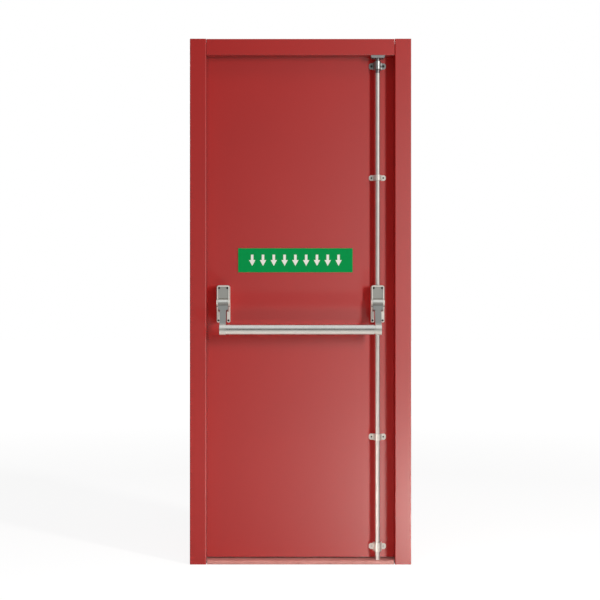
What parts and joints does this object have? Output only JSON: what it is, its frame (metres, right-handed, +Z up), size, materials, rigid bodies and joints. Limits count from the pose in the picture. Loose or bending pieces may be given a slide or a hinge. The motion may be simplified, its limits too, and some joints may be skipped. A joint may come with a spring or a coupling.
{
  "type": "steel fire-exit door set with push bar",
  "caption": "Outward-opening steel door leaf in a folded steel frame, with a horizontal push bar that draws top and bottom bolts through vertical rods.",
  "frame": {"origin": "floor level, on the underside of the sill, midway between the jambs and midway in the frame's depth", "axes": "+X along the wall away from the hinges, +Y out through the doorway in the opening direction, +Z up; the push side faces -Y"},
  "size_m": [0.895, 0.1715, 2.125],
  "materials": {
    "red_powder_coat": "satin powder coat",
    "silver_casting": "silver stoved finish on castings",
    "satin_aluminium": "satin anodised",
    "zinc_plated_steel": "bright zinc plate",
    "stainless_steel": "satin",
    "green_sign": "semi-matt printed sheet",
    "honeycomb_core": "paper honeycomb, out of sight"
  },
  "bodies": {
    "frame": {"hinge_jamb": "red_powder_coat", "lock_jamb": "red_powder_coat", "head": "red_powder_coat", "sill": "red_powder_coat", "top_keep": "silver_casting", "top_hinge_frame_leaf": "stainless_steel", "middle_hinge_frame_leaf": "stainless_steel", "bottom_hinge_frame_leaf": "stainless_steel", "top_hinge_pin": "stainless_steel", "middle_hinge_pin": "stainless_steel", "bottom_hinge_pin": "stainless_steel"},
    "leaf": {"push_side_skin": "red_powder_coat", "outer_skin": "red_powder_coat", "leaf_core": "honeycomb_core", "leaf_top_channel": "red_powder_coat", "leaf_bottom_channel": "red_powder_coat", "sign_plate": "green_sign", "hinge_side_box": "silver_casting", "latch_side_box": "silver_casting", "hinge_side_pivot": "zinc_plated_steel", "latch_side_pivot": "zinc_plated_steel", "top_guide": "silver_casting", "upper_guide": "silver_casting", "lower_guide": "silver_casting", "bottom_guide": "silver_casting", "top_hinge_door_leaf": "stainless_steel", "middle_hinge_door_leaf": "stainless_steel", "bottom_hinge_door_leaf": "stainless_steel"},
    "push_bar": {"push_bar": "satin_aluminium", "hinge_side_arm": "silver_casting", "latch_side_arm": "silver_casting"},
    "top_rod": {"top_rod": "zinc_plated_steel", "top_bolt": "zinc_plated_steel"},
    "bottom_rod": {"bottom_rod": "zinc_plated_steel", "bottom_bolt": "zinc_plated_steel"}
  },
  "joints": [
    {"name": "leaf_swing", "type": "hinge", "parent": "frame", "child": "leaf", "pos_m": [-0.3965, 0.059, 0], "axis": [0, 0, 1], "range_deg": [0, 170]},
    {"name": "bar_push", "type": "hinge", "parent": "leaf", "child": "push_bar", "pos_m": [0, -0.04, 1.058], "axis": [1, 0, 0], "range_deg": [0, 18], "stiffness_Nm_per_rad": 6, "springref_deg": -28.65},
    {"name": "top_rod_slide", "type": "slide", "parent": "leaf", "child": "top_rod", "axis": [0, 0, -1], "range_m": [0, 0.014]},
    {"name": "bottom_rod_slide", "type": "slide", "parent": "leaf", "child": "bottom_rod", "axis": [0, 0, 1], "range_m": [0, 0.014]}
  ],
  "couplings": [
    {"joint": "top_rod_slide", "follows": "bar_push", "m_per_rad": 0.044563},
    {"joint": "bottom_rod_slide", "follows": "bar_push", "m_per_rad": 0.044563}
  ]
}
